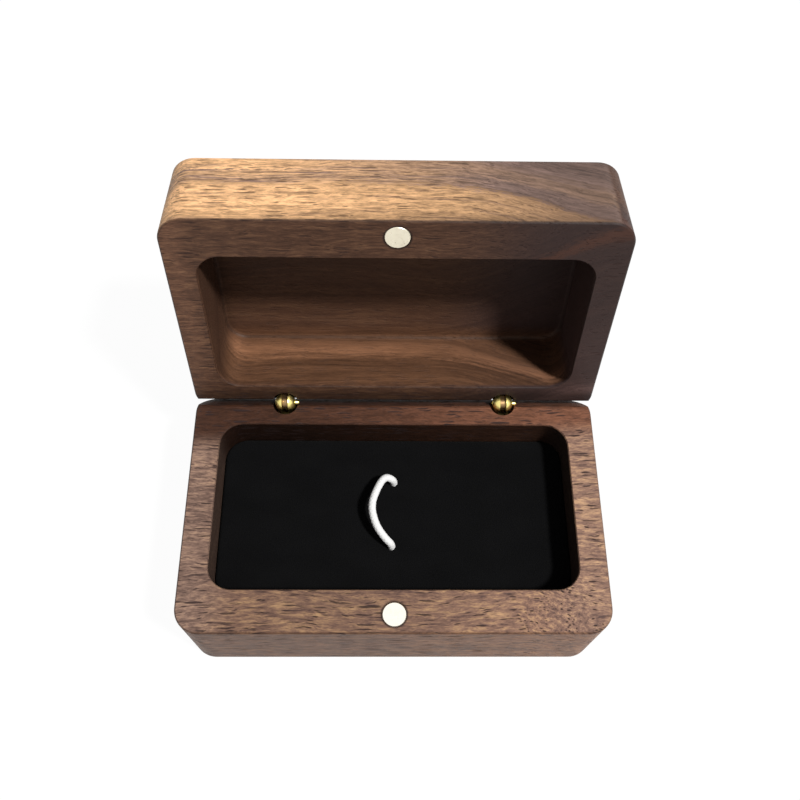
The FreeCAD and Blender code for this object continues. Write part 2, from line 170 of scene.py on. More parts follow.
# A figure is noise that is drawn over a place. fineness is how fine it is along x, y and z, in turns
# for each millimetre. detail and rough say how much smaller noise lies on it.
Figure = namedtuple("Figure", "fineness detail rough")

# Noise comes from its node between 0 and 1, mostly near a half. This spreads it to -1 and 1.
NOISE_SPREAD = 4.0

# The sockets of a Mix node that mixes colours. Other sockets share their names.
MIX_SHARE, MIX_FIRST, MIX_SECOND, MIX_RESULT = 0, 6, 7, 2


class Field:
    """A number, or a vector, that varies over a surface. It is a node's output."""

    def __init__(self, shader, socket):
        self.shader = shader
        self.socket = socket

    def __add__(self, other):
        return self.shader.math("ADD", self, other)

    __radd__ = __add__

    def __sub__(self, other):
        return self.shader.math("SUBTRACT", self, other)

    def __rsub__(self, other):
        return self.shader.math("SUBTRACT", other, self)

    def __mul__(self, other):
        return self.shader.math("MULTIPLY", self, other)

    def power(self, exponent):
        return self.shader.math("POWER", self, exponent)

    def size(self):
        return self.shader.math("ABSOLUTE", self)

    def at_least(self, low):
        return self.shader.math("MAXIMUM", self, low)

    def ramp(self, low, high, start=0.0, end=1.0):
        """Runs smoothly from start to end while the field runs from low to high."""
        node = self.shader.add("MapRange", Value=self)
        node.interpolation_type = "SMOOTHSTEP"
        for name, value in (("From Min", low), ("From Max", high), ("To Min", start), ("To Max", end)):
            self.shader.set(node, name, value)
        return Field(self.shader, node.outputs[0])

    def fall(self, low, high):
        """Runs smoothly from 1 down to 0 while the field runs from low to high."""
        return self.ramp(low, high, 1.0, 0.0)

    def peak(self, middle, reach):
        """1 at the middle, and 0 where the field is as far from it as reach."""
        return self.ramp(middle - reach, middle) * self.fall(middle, middle + reach)

    def levels(self, dark, light):
        """Runs smoothly from dark to light while the field, a tone, runs from -1 to 1."""
        return self.ramp(-1.0, 1.0, dark, light)


class Shader:
    """A material with one Principled surface, and calls that make the nodes that feed it."""

    def __init__(self, name):
        self.material = bpy.data.materials.new(name)
        self.material.use_nodes = True
        self.tree = self.material.node_tree
        self.surface = self.tree.nodes["Principled BSDF"]

    def set(self, node, name, value):
        socket = node.inputs[name]
        if isinstance(value, Field):
            self.tree.links.new(value.socket, socket)
        elif isinstance(value, tuple) and socket.type == "RGBA":
            socket.default_value = (*value, 1.0)
        else:
            socket.default_value = value

    def add(self, kind, **inputs):
        node = self.tree.nodes.new(f"ShaderNode{kind}")
        for name, value in inputs.items():
            self.set(node, name, value)
        return node

    def math(self, operation, *values):
        node = self.add("Math")
        node.operation = operation
        for index, value in enumerate(values):
            self.set(node, index, value)
        return Field(self, node.outputs[0])

    def object_place(self):
        """The place in the object's own frame, in millimetres."""
        coordinates = self.add("TexCoord")
        scaled = self.add("VectorMath")
        scaled.operation = "SCALE"
        self.tree.links.new(coordinates.outputs["Object"], scaled.inputs[0])
        scaled.inputs["Scale"].default_value = 1.0 / MM
        return Field(self, scaled.outputs[0])

    def object_normal(self):
        return Field(self, self.add("TexCoord").outputs["Normal"])

    def turned(self, vector, angle, centre):
        """The vector field turned about an axis along X through centre."""
        node = self.add("VectorRotate", Vector=vector, Center=centre, Angle=angle)
        node.rotation_type = "X_AXIS"
        return Field(self, node.outputs[0])

    def split(self, vector):
        node = self.add("SeparateXYZ", Vector=vector)
        return [Field(self, output) for output in node.outputs]

    def length(self, vector):
        node = self.add("VectorMath")
        node.operation = "LENGTH"
        self.tree.links.new(vector.socket, node.inputs[0])
        return Field(self, node.outputs["Value"])

    def join(self, x, y, z):
        node = self.add("CombineXYZ", X=x, Y=y, Z=z)
        return Field(self, node.outputs[0])

    def stretched(self, place, fineness, offset=0.0):
        """A place as a pattern on it is drawn: each of its parts is multiplied by how fine the pattern is.

        offset picks another stretch of the same pattern.
        """
        x, y, z = (part * fine for part, fine in zip(place, fineness))
        return self.join(x, y, z + offset)

    def noise(self, place, figure, offset=0.0):
        """Smooth noise from about -1 to 1, with a mean of 0."""
        vector = self.stretched(place, figure.fineness, offset)
        node = self.add("TexNoise", Vector=vector, Detail=figure.detail, Roughness=figure.rough, Scale=1.0)
        return Field(self, node.outputs["Fac"]) * NOISE_SPREAD - NOISE_SPREAD / 2

    def cells(self, place, fineness):
        """The distance to the nearest cell centre, and a random number for that cell."""
        node = self.add("TexVoronoi", Vector=self.stretched(place, fineness), Scale=1.0, Randomness=1.0)
        red = self.split(Field(self, node.outputs["Color"]))[0]
        return Field(self, node.outputs["Distance"]), red

    def colours(self, tone, stops):
        """Runs through the colours in stops, evenly spaced, while the tone runs from -1 to 1."""
        share = self.add("MapRange", Value=tone)
        self.set(share, "From Min", -1.0)
        self.set(share, "From Max", 1.0)
        node = self.add("ValToRGB", Fac=Field(self, share.outputs[0]))
        while len(node.color_ramp.elements) < len(stops):
            node.color_ramp.elements.new(0.5)
        for index, colour in enumerate(stops):
            element = node.color_ramp.elements[index]
            element.position = index / (len(stops) - 1)
            element.color = (*colour, 1.0)
        return Field(self, node.outputs[0])

    def mix(self, share, first, second, blend="MIX"):
        node = self.add("Mix")
        node.data_type = "RGBA"
        node.blend_type = blend
        self.set(node, MIX_SHARE, share)
        self.set(node, MIX_FIRST, first)
        self.set(node, MIX_SECOND, second)
        return Field(self, node.outputs[MIX_RESULT])

    def shade(self, colour, amount):
        """Multiplies a colour by a number field."""
        grey = self.add("CombineColor", Red=amount, Green=amount, Blue=amount)
        return self.mix(1.0, colour, Field(self, grey.outputs[0]), blend="MULTIPLY")

    def bump(self, height, distance, strength):
        """Raises the surface by the height field times distance, for the light only."""
        node = self.add("Bump", Height=height, Distance=distance, Strength=strength)
        self.tree.links.new(node.outputs[0], self.surface.inputs["Normal"])

    def finish(self, **inputs):
        """Sets the surface's own sockets. An underscore stands for a space in a socket's name."""
        for name, value in inputs.items():
            self.set(self.surface, name.replace("_", " "), value)
        return self.material


# ---------------------------------------------------------------- walnut
# A ramp is written as where it starts and ends, and then as its two levels. Where they aren't given,
# they are 0 and 1, or 1 and 0 for a fall. A pair whose name ends in TONE is two levels. The axes are
# the block's own, in millimetres: x runs to the right, y to the back and z up.

PORE_COLOUR = (0.026, 0.015, 0.014)
MAGNET_GAP_SHADE_COLOUR = (0.030, 0.018, 0.014)
SAPWOOD = (0.90, 0.52, 0.26)
SMOKY = (0.205, 0.132, 0.108)
DUSKY = (0.196, 0.118, 0.111)
SHELF = (0.100, 0.046, 0.023)
RED_BROWN = (0.105, 0.042, 0.025)
BACK_RED_BROWN = (0.078, 0.032, 0.018)
FRONT_BROWN = (0.215, 0.100, 0.052)
ASH_BROWN = (0.27, 0.18, 0.145)

# Each block's wood, from its dark streaks to its light ones.
BASE_WOOD = ((0.068, 0.038, 0.033), (0.200, 0.112, 0.077), (0.42, 0.250, 0.132))
LID_WOOD = ((0.038, 0.018, 0.011), (0.092, 0.044, 0.026), (0.180, 0.092, 0.050))

# How strong the growth layers, the streaks and the fibres are in each block.
BASE_WEIGHTS = (0.30, 1.1, 0.4)
LID_WEIGHTS = (0.36, 0.84, 0.34)
BASE_SEED = 0.0
LID_SEED = 40.0

FRONT_Y = BASE_LOW.y / MM
MAGNET_INSET = 3.1
MAGNET_Y = FRONT_Y + MAGNET_INSET
BASE_RIM_Z = BASE_HIGH.z / MM
PARTING_GAP = 0.1
LID_RIM_Z = BASE_RIM_Z + PARTING_GAP

# The grain wavers by two figures, and each carries it this many millimetres.
SWAY = Figure((0.035, 0.10, 0.10), 1.0, 0.5)
RIPPLE = Figure((0.22, 0.5, 0.5), 2.0, 0.5)
SWAY_REACH = 0.9
RIPPLE_REACH = 0.30
LAYER_RIPPLE_REACH = 0.18
DIP_SIDEWAYS = 0.45

# Bands and lines are drawn on the depth of the growth layers, flecks and fibres in the solid.
BANDS = Figure((0.012, 0.30, 0.0), 2.0, 0.6)
LINES = Figure((0.05, 1.3, 0.0), 3.0, 0.65)
FLECKS = Figure((0.30, 1.8, 1.8), 4.0, 0.72)
FIBRES = Figure((0.8, 5.0, 5.0), 2.0, 0.6)
LINES_OFFSET = 7.0
BAND_SHARE = 0.7
END_GRAIN = (0.5, 0.9, 1.0, 0.5)
CLEAN_CUT_FADE = 0.65
CLEAN_CUT_LAYERS = 0.10

# Each pore's cell has its own luck, which sets how wide the pore is. Pores crowd in some layers.
PORES = (0.22, 3.0, 3.0)
PORE_LUCK = 0.42
PORE_WALL = (0.28, 0.52)
PORE_DARK = 0.80
PORE_DEEP = 0.8
BAND_CROWDING = 0.10
LINE_CROWDING = 0.13
FINE_PORES = (0.9, 5.0, 5.0)
FINE_PORE_LUCK = 0.3
FINE_PORE_WALL = (0.2, 0.5)
FINE_PORE_DARK = 0.30
FINE_PORE_DEEP = 0.3

MAGNET_GAP_SHADE = (2.12, 2.32, 0.75, 0.0)
MAGNET_GAP_SHADE_CLIMB = 0.5
CHAMFER_STARTS = (0.2, 0.5)
CHAMFER_ENDS = (0.8, 0.95)
CHAMFER_DARK = 0.35

FIBRE_HIGH = 0.22
FLECK_HIGH = 0.15
WOOD_RELIEF = 0.06 * MM
WOOD_RELIEF_SHOWS = 0.7
WOOD_ROUGH = 0.52
FIBRE_ROUGH = 0.05
PORE_ROUGH = 0.25
WOOD_SPECULAR = 0.16

# The recesses' walls, from the middle of the case.
RECESS_SIDES = (30.5, 30.8)
RECESS_BACK = (15.2, 15.5)
RECESS_FRONT = (-14.9, -14.6)


def walnut(name, wood_colours, weights, to_block, layer, dip, smooth, tint, seed):
    """Solid walnut, with its grain along X.

    weights says how strong the growth layers, the streaks and the fibres are.
    to_block takes the shader and the place in the object's frame to the place in the block's own frame.
    layer gives, from that place, how deep in the board a point lies, and so which growth layer it is in.
    dip gives how far the grain has sunk at a place. Where it sinks fast, its streaks look short.
    smooth is 1 where the cut is clean and only the growth layers show, and 0 elsewhere.
    tint takes the untinted wood's colour and gives the colour of the board's paler and darker parts, and
    the painted shade in the base's recess.
    """
    wood = Shader(name)
    x, y, z = wood.split(to_block(wood, wood.object_place()))

    sway = wood.noise((x, y, z), SWAY, seed)
    ripple = wood.noise((x, y, z), RIPPLE, seed)
    sunk = dip(x, y)
    side = y + sway * SWAY_REACH + ripple * RIPPLE_REACH + sunk * DIP_SIDEWAYS
    up = z + sway * SWAY_REACH + ripple * RIPPLE_REACH + sunk
    depth = layer(x, y, z) + sway * SWAY_REACH + ripple * LAYER_RIPPLE_REACH

    # The ends of the block cut the grain across, and show it more faintly.
    lean, _, upright = wood.split(to_block(wood, wood.object_normal(), Vector((0.0, 0.0, 0.0))))
    clean = smooth(x, y, z)
    along = lean.size().ramp(*END_GRAIN) * (1.0 - clean * CLEAN_CUT_FADE)
    layers, streaks, threads = weights
    bands = wood.noise((x, depth, up), BANDS, seed)
    lines = wood.noise((x, depth, up), LINES, LINES_OFFSET + seed)
    flecks = wood.noise((x, side, up), FLECKS, seed)
    fibres = wood.noise((x, side, up), FIBRES)
    tone = (bands * BAND_SHARE + lines) * (layers + clean * CLEAN_CUT_LAYERS)
    tone = tone + (flecks * streaks + fibres * threads) * along
    colour = tint(wood, wood.colours(tone, wood_colours), tone, x, y, z, depth)

    # Pores are long narrow hollows.
    distance, luck = wood.cells((x, side, up), PORES)
    crowd = bands * BAND_CROWDING + lines * LINE_CROWDING
    pore = (distance + luck * PORE_LUCK - crowd).fall(*PORE_WALL)
    fine_distance, fine_luck = wood.cells((x, side, up), FINE_PORES)
    fine_pore = (fine_distance + fine_luck * FINE_PORE_LUCK).fall(*FINE_PORE_WALL)
    colour = wood.mix(pore * along * (PORE_DARK * streaks), colour, PORE_COLOUR)
    colour = wood.mix(fine_pore * along * (FINE_PORE_DARK * streaks), colour, PORE_COLOUR)

    # Painted shadow in the gap round the magnet: a dark ring in the wood.
    from_magnet = wood.length(wood.join(x, y - MAGNET_Y, (z - BASE_RIM_Z) * MAGNET_GAP_SHADE_CLIMB))
    colour = wood.mix(from_magnet.ramp(*MAGNET_GAP_SHADE), colour, MAGNET_GAP_SHADE_COLOUR)

    # The chamfered edges, whose faces lean halfway between two sides of the block, are darker.
    chamfer = upright.size().ramp(*CHAMFER_STARTS) * upright.size().fall(*CHAMFER_ENDS)
    colour = wood.shade(colour, 1.0 - chamfer * CHAMFER_DARK)

    relief = 0.0 - pore * PORE_DEEP - fine_pore * FINE_PORE_DEEP + fibres * FIBRE_HIGH + flecks * FLECK_HIGH
    wood.bump(relief, WOOD_RELIEF, WOOD_RELIEF_SHOWS)
    rough = WOOD_ROUGH + fibres * FIBRE_ROUGH + pore * PORE_ROUGH
    return wood.finish(Base_Color=colour, Roughness=rough, Specular_IOR_Level=WOOD_SPECULAR)


def over_recess(x, y):
    """1 within the walls of the recesses, and 0 beyond them. Both recesses have the same outline."""
    return x.size().fall(*RECESS_SIDES) * y.fall(*RECESS_BACK) * y.ramp(*RECESS_FRONT)


def base_frame(shader, vector, centre=None):
    """The base stands still, so its own frame is the object's frame."""
    return vector


def lid_frame(shader, vector, centre=HINGE_PLACE / MM):
    """The lid's wood is drawn with the lid shut, so that its layers follow its own faces."""
    return shader.turned(vector, OPEN_ANGLE, centre)


# ---- the base's wood
BASE_LAYER_LEAN = 0.35
BASE_LAYER_CURVE = 0.003
BASE_DIP = (18.0, 34.0, 0.0, 5.0)
BASE_DIP_IN_FRONT = (-15.0, -5.0, 1.0, 0.25)

# The front face. It is cut more cleanly, and is browner and less even than the rim.
FRONT_SKIN = (FRONT_Y + 0.1, FRONT_Y + 0.5)
FRONT_CLEAN = 0.2
FRONT_WARMTH = 0.5
FRONT_TONE = (0.3, 1.7)
FRONT_DARK = 0.20
FRONT_CLOUD = Figure((0.13, 1.0, 1.0), 2.0, 0.5)
FRONT_CLOUD_HIGH = 0.20
FRONT_CLOUD_LEAN = 0.01
FRONT_CLOUD_SHARE = 0.45

BASE_LIGHT = (-10.0, 34.0, 0.93, 1.45)
BASE_GREY_LEFT = (-34.0, -24.0, 0.45, 0.0)
BASE_GREY_RIGHT = (22.0, 30.0, 0.0, 0.18)
BASE_GREY_TONE = (0.35, 1.65)
BASE_BACK_BAND = (10.5, 15.0)
BASE_BACK_BAND_LEAN = 0.04
BASE_BACK_BAND_TONE = (0.6, 1.4)
BASE_BACK_BAND_ACROSS = (-25.0, 32.0, 0.62, 2.1)
BASE_RECESS_SHADE_TOP = (BASE_RIM_Z - 0.5, BASE_RIM_Z - 0.2)
BASE_RECESS_SHADE = (22.0, 30.0, 0.75, 0.95)


def make_base_walnut():
    """Grey-brown wood, lighter on the right. A dark red band crosses the back, darkest at the left, and
    painted shade darkens the recess's walls.
    """

    def layer(x, y, z):
        return z + y * BASE_LAYER_LEAN + x.at_least(0.0).power(2.0) * BASE_LAYER_CURVE

    def dip(x, y):
        return x.ramp(*BASE_DIP) * y.ramp(*BASE_DIP_IN_FRONT)

    def smooth(x, y, z):
        return y.ramp(*FRONT_SKIN, FRONT_CLEAN, 0.0)

    def tint(wood, colour, tone, x, y, z, depth):
        light = x.ramp(*BASE_LIGHT)
        colour = wood.shade(colour, light)
        grey = x.ramp(*BASE_GREY_LEFT) + x.ramp(*BASE_GREY_RIGHT)
        colour = wood.mix(grey, colour, wood.shade(ASH_BROWN, tone.levels(*BASE_GREY_TONE)))

        front = y.fall(*FRONT_SKIN)
        cloud = wood.noise((x, 0.0, z * FRONT_CLOUD_HIGH - x * FRONT_CLOUD_LEAN), FRONT_CLOUD)
        warmth = (tone.levels(*FRONT_TONE) + cloud * FRONT_CLOUD_SHARE) * light
        colour = wood.mix(front * FRONT_WARMTH, colour, wood.shade(FRONT_BROWN, warmth))

        # The back is darker and redder, darkest at the left.
        back_band = wood.shade(BACK_RED_BROWN, tone.levels(*BASE_BACK_BAND_TONE) * x.ramp(*BASE_BACK_BAND_ACROSS))
        colour = wood.mix((y - x * BASE_BACK_BAND_LEAN).ramp(*BASE_BACK_BAND), colour, back_band)

        # Painted shade darkens the recess's walls, most of all the right wall.
        recess_shade = z.fall(*BASE_RECESS_SHADE_TOP) * over_recess(x, y)
        return wood.shade(colour, (1.0 - recess_shade * x.ramp(*BASE_RECESS_SHADE)) * (1.0 - front * FRONT_DARK))

    return walnut("base_walnut", BASE_WOOD, BASE_WEIGHTS, base_frame, layer, dip, smooth, tint, BASE_SEED)


# ---- the lid's wood, with the lid shut, so that its rim is under it
# A layer is named by how many millimetres above the rim it meets the front face at the left. At the
# right the layers dip towards the rim, and so they do further back.
LID_LAYER_LEAN = 0.74
LID_DIP = (8.0, 36.0, 0.0, 8.5)
RAGGED = 1.5

# The front face and its corners keep a thin skin of the outer wood. It has pale sapwood up to
# SAPWOOD_TOP, and again from SAPWOOD_AGAIN to SAPWOOD_END. The rest of the skin is grey.
CORNER_ROUND = 4.2
CORNER_X = BASE_LOW.x / MM + CORNER_ROUND
CORNER_Y = FRONT_Y + CORNER_ROUND
SKIN_DEEP = (0.15, 0.5)
SKIN_ENDS = (-0.5, 2.5)
SKIN_STARTS = (0.05, 0.5)
SAPWOOD_EDGE = 8.2
SAPWOOD_TOP = (SAPWOOD_EDGE - 0.5, SAPWOOD_EDGE + 0.5)
SAPWOOD_AGAIN = (11.4, 12.4)
SAPWOOD_END = (14.4, 16.4)
SAPWOOD_ACROSS = (5.0, 33.0, 1.0, 0.35)
SAPWOOD_TONE = (0.40, 1.45)
SAPWOOD_LIGHT_ACROSS = (-26.0, 22.0, 1.03, 0.62)
SAPWOOD_LIGHT_UP = (0.2, 3.0, 0.68, 1.0)
UPPER_SAPWOOD_ACROSS = (-30.0, 25.0, 1.0, 0.15)
GREY_SKIN = (7.7, 9.2, 0.6, 1.0)
GREY_SKIN_TONE = (0.35, 1.6)
GREY_SKIN_ACROSS = (5.0, 30.0, 1.1, 0.72)

# Between its two pale bands the skin is mottled. Brown streaks cross its sapwood, but not its edge.
MOTTLE = Figure((0.06, 1.2, 0.0), 3.0, 0.7)
MOTTLE_OFFSET = 33.0
MOTTLE_LIGHT = (-0.7, 0.5)
MOTTLE_ACROSS = (-5.0, 18.0, 0.85, 0.0)
STREAKS = Figure((0.06, 0.9, 0.0), 3.0, 0.7)
STREAKS_OFFSET = 21.0
STREAKS_DARK = (0.0, 1.0)
STREAKS_FROM_EDGE = (0.5, 1.5)
STREAKS_SHARE = 0.75

# The wood is lighter at the left and dark at the back. Under the skin it is dusky at the right. A red
# streak crosses the right, and a warm one the back.
RED_STREAK = 9.5
RED_STREAK_REACH = 1.6
RED_STREAK_SHARE = 0.5
WARM_STREAK = 35.5
WARM_STREAK_REACH = 3.0
WARM_STREAK_LIGHT = 0.9
WARM_STREAK_ALONG = (12.0, 14.5)
RIGHT_START = (4.0, 24.0)
RIGHT_UP = (1.0, 7.0, 1.0, 0.2)
RIGHT_SHARE = 0.9
RIGHT_CLEAN = (8.0, 26.0, 0.0, 0.85)
DUSKY_TONE = (0.17, 0.25)
DUSKY_ALONG = (-12.0, 14.0, 0.85, 1.2)
LEFT_LIGHT = (-33.0, -29.5, 0.48, 0.0)
LEFT_ALONG = (4.0, 16.0, 1.0, 0.4)
LEFT_UP = (1.0, 7.0)
BACK_DARK = (14.9, 17.5, 0.0, 0.60)
BACK_UP = (2.0, 9.0, 1.0, 0.1)

LID_RECESS_MOUTH = (0.3, 0.8)
LID_RECESS_FLOOR = (12.2, 12.5)
SHELF_ALONG = (11.5, 14.5)
SHELF_SHARE = 0.8
SHELF_TONE = (0.35, 1.75)
LEFT_WALL_DARK = (-30.4, -28.0, 0.38, 0.0)


def make_lid_walnut():
    """Dark red-brown wood under a thin skin that is pale sapwood near the rim."""

    def layer(x, y, z):
        return (z - LID_RIM_Z) + dip(x, y) + (y - FRONT_Y) * LID_LAYER_LEAN

    def dip(x, y):
        return x.ramp(*LID_DIP)

    def in_recess(x, y, z):
        up = z - LID_RIM_Z
        return over_recess(x, y) * up.ramp(*LID_RECESS_MOUTH) * up.fall(*LID_RECESS_FLOOR)

    def smooth(x, y, z):
        return in_recess(x, y, z).at_least(x.ramp(*RIGHT_CLEAN))

    def tint(wood, colour, tone, x, y, z, depth):
        up = z - LID_RIM_Z
        ragged_up = up + tone
        ragged = depth + tone * RAGGED
        recess = in_recess(x, y, z)

        # Where the skin is, from how far a place is in from the rounded outline.
        corner = wood.join((CORNER_X - x).at_least(0.0), (CORNER_Y - y).at_least(0.0), 0.0)
        inward = CORNER_ROUND - wood.length(corner)
        skin = inward.fall(*SKIN_DEEP) * (y - CORNER_Y).fall(*SKIN_ENDS) * up.ramp(*SKIN_STARTS)

        # The skin's grey layers, and then the rim's lighter left side.
        grey = skin * ragged.ramp(*GREY_SKIN)
        smoke = tone.levels(*GREY_SKIN_TONE) * x.ramp(*GREY_SKIN_ACROSS)
        colour = wood.mix(grey, colour, wood.shade(SMOKY, smoke))
        left = x.ramp(*LEFT_LIGHT) * y.ramp(*LEFT_ALONG)
        colour = wood.shade(colour, 1.0 + left * ragged_up.fall(*LEFT_UP))

        # The dusky right side, with the red streak in it.
        right = x.ramp(*RIGHT_START) * (1.0 - skin) * recess.at_least(ragged_up.ramp(*RIGHT_UP))
        dusk = tone.levels(*DUSKY_TONE) * y.ramp(*DUSKY_ALONG)
        colour = wood.mix(right * RIGHT_SHARE, colour, wood.shade(DUSKY, dusk))
        red = ragged.peak(RED_STREAK, RED_STREAK_REACH)
        colour = wood.mix(right * red * RED_STREAK_SHARE, colour, RED_BROWN)

        # The recess's back wall, a shelf while the lid is open, the back rim with the warm streak in it,
        # and the recess's left wall.
        shelf = wood.shade(SHELF, tone.levels(*SHELF_TONE))
        colour = wood.mix(recess * y.ramp(*SHELF_ALONG) * SHELF_SHARE, colour, shelf)
        back = y.ramp(*BACK_DARK) * ragged_up.ramp(*BACK_UP)
        warm = ragged.peak(WARM_STREAK, WARM_STREAK_REACH) * y.ramp(*WARM_STREAK_ALONG)
        colour = wood.shade(colour, (1.0 + warm * WARM_STREAK_LIGHT) * (1.0 - back))
        colour = wood.shade(colour, 1.0 - recess * x.ramp(*LEFT_WALL_DARK))

        # The skin's sapwood: a pale band, a mottled one and a second pale one.
        low = ragged.fall(*SAPWOOD_TOP) * x.ramp(*SAPWOOD_ACROSS)
        high = ragged.ramp(*SAPWOOD_AGAIN) * ragged.fall(*SAPWOOD_END) * x.ramp(*UPPER_SAPWOOD_ACROSS)
        mottle = wood.noise((x, depth, up), MOTTLE, MOTTLE_OFFSET)
        mottled = ragged.ramp(*SAPWOOD_TOP) * ragged.fall(*SAPWOOD_AGAIN)
        mottled = mottled * mottle.ramp(*MOTTLE_LIGHT) * x.ramp(*MOTTLE_ACROSS)
        pale = low + high + mottled

        streaks = wood.noise((x, depth, up), STREAKS, STREAKS_OFFSET).ramp(*STREAKS_DARK)
        from_edge = (ragged - SAPWOOD_EDGE).size()
        streaks = streaks * from_edge.ramp(*STREAKS_FROM_EDGE) * STREAKS_SHARE
        light = tone.levels(*SAPWOOD_TONE) * x.ramp(*SAPWOOD_LIGHT_ACROSS) * up.ramp(*SAPWOOD_LIGHT_UP)
        return wood.mix(skin * pale * (1.0 - streaks), colour, wood.shade(SAPWOOD, light))

    return walnut("lid_walnut", LID_WOOD, LID_WEIGHTS, lid_frame, layer, dip, smooth, tint, LID_SEED)


# ---------------------------------------------------------------- metals

BASE_NICKEL = (0.95, 0.91, 0.80)
LID_NICKEL = (0.93, 0.86, 0.68)
NICKEL_PIT = (0.42, 0.37, 0.27)
BASE_NICKEL_WEAR = 0.7
LID_NICKEL_WEAR = 1.3
NICKEL_CLOUD = Figure((1.0, 1.0, 1.0), 4.0, 0.65)
NICKEL_CLOUD_MARKS = (0.0, 1.4)
NICKEL_CLOUD_SHARE = 0.3
NICKEL_PITS = (3.0, 3.0, 3.0)
NICKEL_PIT_LUCK = 0.5
NICKEL_PIT_WALL = (0.15, 0.35)
NICKEL_PIT_SHARE = 0.5
NICKEL_PIT_DEEP = 0.6
NICKEL_PIT_ROUGH = 0.2
NICKEL_CLOUD_HIGH = 0.4
NICKEL_CLOUD_ROUGH = 0.05
NICKEL_RELIEF = 0.01 * MM
NICKEL_ROUGH = 0.30

# Each brass: where it is bright, where it is dull, how rough, and how dark the painted shade in its hollow
# is.
POLISHED_BRASS = ((1.0, 0.84, 0.30), (0.86, 0.62, 0.18), 0.29, 0.9)
# The tongue's brass is the polished brass darkened: painted shade where the tongue sits sunk in the slot.
SHADED_BRASS = ((0.30, 0.19, 0.09), (0.14, 0.09, 0.05), 0.40, 0.8)
BRASS_HOLLOW_SHADE = (0.045, 0.032, 0.016)
BRASS_SMEAR = Figure((0.9, 0.9, 0.9), 3.0, 0.6)
BRASS_RINGS = Figure((0.6, 0.6, 14.0), 2.0, 0.5)
BRASS_DULL = (-0.2, 1.1)
BRASS_DULL_SHARE = 0.30
BRASS_DULL_ROUGH = 0.12
BRASS_RELIEF = 0.004 * MM
METAL_RELIEF_SHOWS = 0.5

# The way up and back out of the hollow under the balls, and where along it the painted shade ends.
HOLLOW_BACK = 0.88
HOLLOW_UP = 0.47
HOLLOW_SHADE_EDGE = (-1.55, -0.80)


def make_brass(name, bright, dull, rough, hollow_shade):
    """Turned brass: fine rings from the lathe, a few smears and faint tarnish, and painted shade low on the
    front of the ball.

    The last argument says how dark the painted shade is low on the front of the ball, where the bore's
    shadow falls.
    """
    brass = Shader(name)
    x, y, z = brass.split(brass.object_place())
    smear = brass.noise((x, y, z), BRASS_SMEAR)
    rings = brass.noise((x, y, z), BRASS_RINGS)
    tarnish = smear.ramp(*BRASS_DULL)
    colour = brass.mix(tarnish * BRASS_DULL_SHARE, bright, dull)
    # Painted shade, low on the front of the ball where it faces into the bore.
    from_hollow = (y - HINGE_PLACE.y / MM) * HOLLOW_BACK + (z - HINGE_PLACE.z / MM) * HOLLOW_UP
    colour = brass.mix(from_hollow.ramp(*HOLLOW_SHADE_EDGE, hollow_shade, 0.0), colour, BRASS_HOLLOW_SHADE)
    brass.bump(rings * 0.5 + smear * 0.5, BRASS_RELIEF, METAL_RELIEF_SHOWS)
    return brass.finish(Base_Color=colour, Roughness=rough + tarnish * BRASS_DULL_ROUGH, Metallic=1.0)


def make_nickel(name, plate, wear):
    """Barrel-plated nickel: a soft shine with small pits and rub marks. wear says how many."""
    nickel = Shader(name)
    place = nickel.split(nickel.object_place())
    cloud = nickel.noise(place, NICKEL_CLOUD)
    distance, luck = nickel.cells(place, NICKEL_PITS)
    pit = (distance + luck * NICKEL_PIT_LUCK).fall(*NICKEL_PIT_WALL)
    marks = (pit * NICKEL_PIT_SHARE + cloud.ramp(*NICKEL_CLOUD_MARKS) * NICKEL_CLOUD_SHARE) * wear
    relief = cloud * NICKEL_CLOUD_HIGH - pit * NICKEL_PIT_DEEP
    nickel.bump(relief, NICKEL_RELIEF, METAL_RELIEF_SHOWS)
    rough = NICKEL_ROUGH + cloud * NICKEL_CLOUD_ROUGH + pit * NICKEL_PIT_ROUGH
    return nickel.finish(Base_Color=nickel.mix(marks, plate, NICKEL_PIT), Roughness=rough, Metallic=1.0)


# ---------------------------------------------------------------- fabric, cord, foam and card

VELVET_COLOUR = (0.0040, 0.0040, 0.0042)
VELVET_LEAN = Figure((0.10, 0.16, 0.16), 2.0, 0.5)
VELVET_LEAN_SHARE = 0.20
VELVET_LEAN_HIGH = 0.3
VELVET_TUFTS = Figure((4.5, 4.5, 4.5), 3.0, 0.7)
VELVET_TUFTS_SHARE = 0.30
VELVET_RELIEF = 0.15 * MM
VELVET_ROUGH = 0.95
VELVET_TUFTS_ROUGH = 0.03
VELVET_SPECULAR = 0.05
VELVET_SHEEN = 0.012
VELVET_SHEEN_ROUGH = 0.5

YARN_LOW = (0.72, 0.71, 0.69)
YARN_HIGH = (0.90, 0.90, 0.89)
YARN_FUZZ = Figure((7.0, 7.0, 7.0), 3.0, 0.7)
YARN_EDGE = (-0.9, 0.9)
YARN_RELIEF = 0.02 * MM
YARN_ROUGH = 0.8
YARN_FUZZ_ROUGH = 0.05
YARN_SHEEN = 0.2
CLOTH_RELIEF_SHOWS = 0.6

FOAM_COLOUR = (0.20, 0.20, 0.20)
FOAM_PORE_COLOUR = (0.05, 0.05, 0.05)
FOAM_CELLS = (2.2, 2.2, 2.2)
FOAM_LUCK = 0.2
FOAM_WALL = (0.1, 0.5)
FOAM_RELIEF = 0.2 * MM
FOAM_RELIEF_SHOWS = 0.8
FOAM_ROUGH = 0.95
FOAM_PORE_ROUGH = 0.05

CARD_DARK = (0.16, 0.15, 0.14)
CARD_LIGHT = (0.30, 0.29, 0.27)
CARD_PULP = Figure((1.5, 3.5, 3.5), 4.0, 0.7)
CARD_RELIEF = 0.02 * MM
CARD_RELIEF_SHOWS = 0.5
CARD_ROUGH = 0.85
CARD_PULP_ROUGH = 0.05


